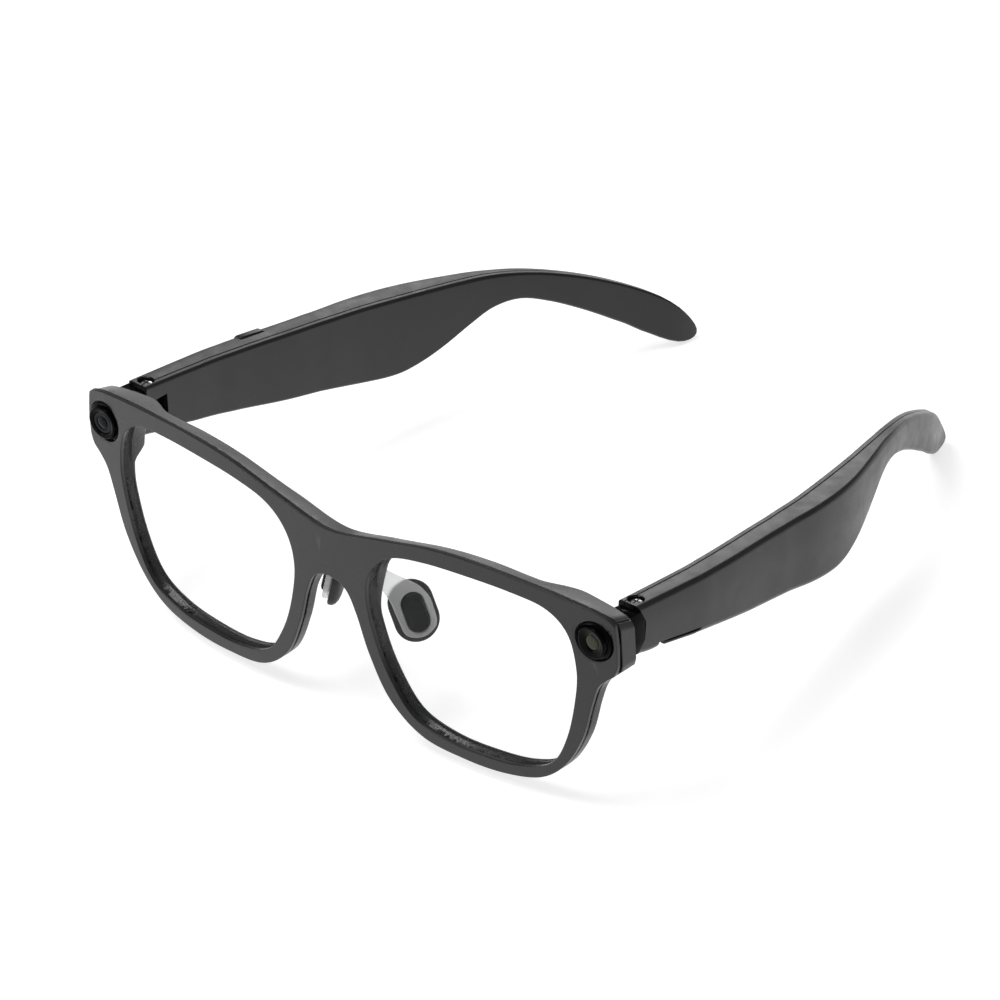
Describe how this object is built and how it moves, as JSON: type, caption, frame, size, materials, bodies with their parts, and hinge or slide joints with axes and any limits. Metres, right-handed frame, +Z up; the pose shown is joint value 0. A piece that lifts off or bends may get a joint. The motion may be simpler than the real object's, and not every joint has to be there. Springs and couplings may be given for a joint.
{
  "type": "smart glasses",
  "caption": "Smart glasses: thick-rimmed front with a camera and a light window at its upper corners, clear lenses, nose pads on clear arms, and folding electronic temples.",
  "frame": {"origin": "centre of the base of the open glasses as they lie on a table, on the rims' lowest points and the temple tips", "axes": "+Z up, -Y out of the front face (where the wearer looks), +X to the wearer's left"},
  "size_m": [0.1464, 0.1468, 0.0517],
  "materials": {
    "satin": "satin",
    "gloss": "gloss",
    "lens": "polished clear",
    "camera": "gloss",
    "light": "gloss",
    "lamp": "satin",
    "steel": "satin",
    "black_steel": "satin",
    "gold": "polished",
    "copper": "satin",
    "board": "satin",
    "foil": "satin",
    "dark": "matte",
    "clear": "clear gloss",
    "silicone": "matte"
  },
  "bodies": {
    "front": {"front_plate": "satin", "rear_housing": "satin", "front_flex": "copper", "lens_left": "lens", "lens_right": "lens", "end_cap_left": "satin", "end_cap_right": "satin", "light_bezel": "gloss", "light_window": "light", "light_lamp": "lamp", "light_board": "board", "camera_bezel": "gloss", "camera_window": "camera", "camera_module": "gloss", "camera_board": "board", "nose_arm_left": "clear", "nose_core_left": "gloss", "nose_pad_left": "silicone", "hinge_leaf_left": "black_steel", "nose_arm_right": "clear", "nose_core_right": "gloss", "nose_pad_right": "silicone", "hinge_leaf_right": "black_steel"},
    "temple_left": {"temple_shell_left": "satin", "temple_cover_left": "satin", "hinge_block_left": "gloss", "hinge_screw_left": "steel", "board_left": "board", "battery_left": "foil", "speaker_left": "dark", "speaker_mesh_left": "steel", "charge_contact_1": "gold", "charge_contact_2": "gold"},
    "temple_right": {"temple_shell_right": "satin", "temple_cover_right": "satin", "hinge_block_right": "gloss", "hinge_screw_right": "steel", "board_right": "board", "battery_right": "foil", "speaker_right": "dark", "speaker_mesh_right": "steel", "button_switch": "dark"},
    "capture_button": {"capture_button": "satin"},
    "power_slider": {"power_slider": "satin"}
  },
  "joints": [
    {"name": "left_temple_hinge", "type": "hinge", "parent": "front", "child": "temple_left", "pos_m": [0.0679, -0.05416, 0.0411], "axis": [0, 0.0483, 0.9988], "range_deg": [0, 78]},
    {"name": "right_temple_hinge", "type": "hinge", "parent": "front", "child": "temple_right", "pos_m": [-0.0679, -0.05416, 0.0411], "axis": [0, -0.0483, -0.9988], "range_deg": [0, 70]},
    {"name": "capture_press", "type": "slide", "parent": "temple_right", "child": "capture_button", "axis": [0, -0.1731, -0.9849], "range_m": [0, 0.00035], "stiffness_N_per_m": 800, "springref_m": -0.0004},
    {"name": "power_slide", "type": "slide", "parent": "temple_left", "child": "power_slider", "axis": [0, -0.9615, 0.2747], "range_m": [0, 0.0023]}
  ]
}
